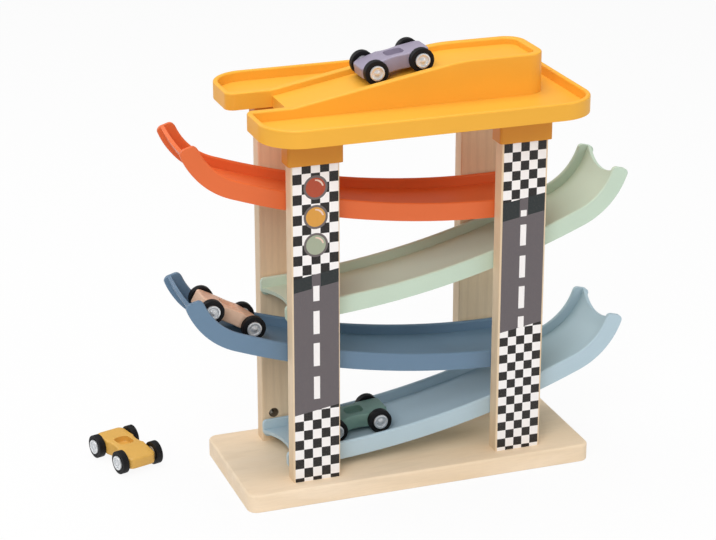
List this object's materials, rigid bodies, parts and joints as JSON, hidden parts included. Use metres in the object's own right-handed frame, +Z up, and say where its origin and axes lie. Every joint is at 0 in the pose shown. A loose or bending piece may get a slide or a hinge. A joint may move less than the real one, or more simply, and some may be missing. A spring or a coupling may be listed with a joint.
{
  "type": "toy car ramp",
  "caption": "Wooden toy race tower: curled moulded tracks zigzag down between wooden posts under a top deck with a start ramp, with small wheeled cars.",
  "frame": {"origin": "centre of the base board's underside", "axes": "+X along the base board towards the end where the top track's cars leave it, +Y from the printed front posts to the back posts, +Z up"},
  "size_m": [0.4206, 0.1876, 0.3484],
  "materials": {
    "base_wood": "fine sanded pale plywood with a clear matt finish",
    "post_wood": "fine sanded pale wood, printed with road and chequer bands on the front posts",
    "deck_plastic": "satin yellow-orange moulding",
    "red_plastic": "satin red-orange moulding",
    "mint_plastic": "satin mint moulding",
    "slate_plastic": "satin slate blue moulding",
    "sky_plastic": "satin light blue moulding",
    "violet_paint": "painted wood, satin",
    "peach_paint": "painted wood, satin",
    "green_paint": "painted wood, satin",
    "yellow_paint": "painted wood, satin",
    "tyre_rubber": "plain black rubber",
    "hub_plastic": "silvery white moulding",
    "axle_steel": "drawn steel rod",
    "screw_steel": "zinc plated wood screw"
  },
  "bodies": {
    "stand": {"base_board": "base_wood", "base_screws": "screw_steel", "front_left_post": "post_wood", "front_right_post": "post_wood", "back_left_post": "post_wood", "back_right_post": "post_wood", "top_track": "red_plastic", "second_track": "mint_plastic", "third_track": "slate_plastic", "bottom_track": "sky_plastic", "top_deck": "deck_plastic"},
    "violet_car": {"violet_car_body": "violet_paint"},
    "violet_car_front_wheels": {"violet_car_front_axle": "axle_steel", "violet_car_front_hubs": "hub_plastic", "violet_car_front_tyres": "tyre_rubber"},
    "violet_car_rear_wheels": {"violet_car_rear_axle": "axle_steel", "violet_car_rear_hubs": "hub_plastic", "violet_car_rear_tyres": "tyre_rubber"},
    "peach_car": {"peach_car_body": "peach_paint"},
    "peach_car_front_wheels": {"peach_car_front_axle": "axle_steel", "peach_car_front_hubs": "hub_plastic", "peach_car_front_tyres": "tyre_rubber"},
    "peach_car_rear_wheels": {"peach_car_rear_axle": "axle_steel", "peach_car_rear_hubs": "hub_plastic", "peach_car_rear_tyres": "tyre_rubber"},
    "green_car": {"green_car_body": "green_paint"},
    "green_car_front_wheels": {"green_car_front_axle": "axle_steel", "green_car_front_hubs": "hub_plastic", "green_car_front_tyres": "tyre_rubber"},
    "green_car_rear_wheels": {"green_car_rear_axle": "axle_steel", "green_car_rear_hubs": "hub_plastic", "green_car_rear_tyres": "tyre_rubber"},
    "yellow_car": {"yellow_car_body": "yellow_paint"},
    "yellow_car_front_wheels": {"yellow_car_front_axle": "axle_steel", "yellow_car_front_hubs": "hub_plastic", "yellow_car_front_tyres": "tyre_rubber"},
    "yellow_car_rear_wheels": {"yellow_car_rear_axle": "axle_steel", "yellow_car_rear_hubs": "hub_plastic", "yellow_car_rear_tyres": "tyre_rubber"}
  },
  "joints": [
    {"name": "violet_car_roll", "type": "slide", "parent": "stand", "child": "violet_car", "axis": [-0.9848, 0, -0.1738], "range_m": [-0.016, 0.07]},
    {"name": "violet_car_front_wheels_spin", "type": "hinge", "parent": "violet_car", "child": "violet_car_front_wheels", "pos_m": [-0.02567, 0, 0.33236], "axis": [0, -1, 0], "range_deg": [-102, 428]},
    {"name": "violet_car_rear_wheels_spin", "type": "hinge", "parent": "violet_car", "child": "violet_car_rear_wheels", "pos_m": [0.01126, 0, 0.33888], "axis": [0, -1, 0], "range_deg": [-102, 428]},
    {"name": "green_car_roll", "type": "hinge", "parent": "stand", "child": "green_car", "pos_m": [-0.10683, 0, 0.69481], "axis": [0, 1, 0], "range_deg": [-14.2, 2.5]},
    {"name": "green_car_front_wheels_spin", "type": "hinge", "parent": "green_car", "child": "green_car_front_wheels", "pos_m": [-0.05902, 0, 0.03865], "axis": [0, -1, 0], "range_deg": [-1003, 181]},
    {"name": "green_car_rear_wheels_spin", "type": "hinge", "parent": "green_car", "child": "green_car_rear_wheels", "pos_m": [-0.02171, 0, 0.04244], "axis": [0, -1, 0], "range_deg": [-1003, 181]},
    {"name": "peach_car_roll", "type": "hinge", "parent": "stand", "child": "peach_car", "pos_m": [-0.08333, 0, 0.23845], "axis": [0, -1, 0], "range_deg": [0, 8.1]},
    {"name": "peach_car_front_wheels_spin", "type": "hinge", "parent": "peach_car", "child": "peach_car_front_wheels", "pos_m": [-0.12622, 0, 0.13713], "axis": [0, 1, 0], "range_deg": [-5, 107]},
    {"name": "peach_car_rear_wheels_spin", "type": "hinge", "parent": "peach_car", "child": "peach_car_rear_wheels", "pos_m": [-0.15915, 0, 0.15507], "axis": [0, 1, 0], "range_deg": [-5, 110]},
    {"name": "yellow_car_roll", "type": "slide", "parent": "stand", "child": "yellow_car", "axis": [0.2857, -0.9583, 0], "range_m": [-0.08, 0.08]},
    {"name": "yellow_car_front_wheels_spin", "type": "hinge", "parent": "yellow_car", "child": "yellow_car_front_wheels", "pos_m": [-0.20614, 0.05053, 0.0095], "axis": [0.9583, 0.2857, 0], "range_deg": [-488, 488]},
    {"name": "yellow_car_rear_wheels_spin", "type": "hinge", "parent": "yellow_car", "child": "yellow_car_rear_wheels", "pos_m": [-0.21686, 0.08647, 0.0095], "axis": [0.9583, 0.2857, 0], "range_deg": [-488, 488]}
  ],
  "couplings": [
    {"joint": "violet_car_front_wheels_spin", "follows": "violet_car_roll", "rad_per_m": 105.26},
    {"joint": "violet_car_rear_wheels_spin", "follows": "violet_car_roll", "rad_per_m": 105.26},
    {"joint": "green_car_front_wheels_spin", "follows": "green_car_roll", "ratio": 70.253},
    {"joint": "green_car_rear_wheels_spin", "follows": "green_car_roll", "ratio": 70.253},
    {"joint": "peach_car_front_wheels_spin", "follows": "peach_car_roll", "ratio": 12.582},
    {"joint": "peach_car_rear_wheels_spin", "follows": "peach_car_roll", "ratio": 12.864},
    {"joint": "yellow_car_front_wheels_spin", "follows": "yellow_car_roll", "rad_per_m": 105.26},
    {"joint": "yellow_car_rear_wheels_spin", "follows": "yellow_car_roll", "rad_per_m": 105.26}
  ]
}
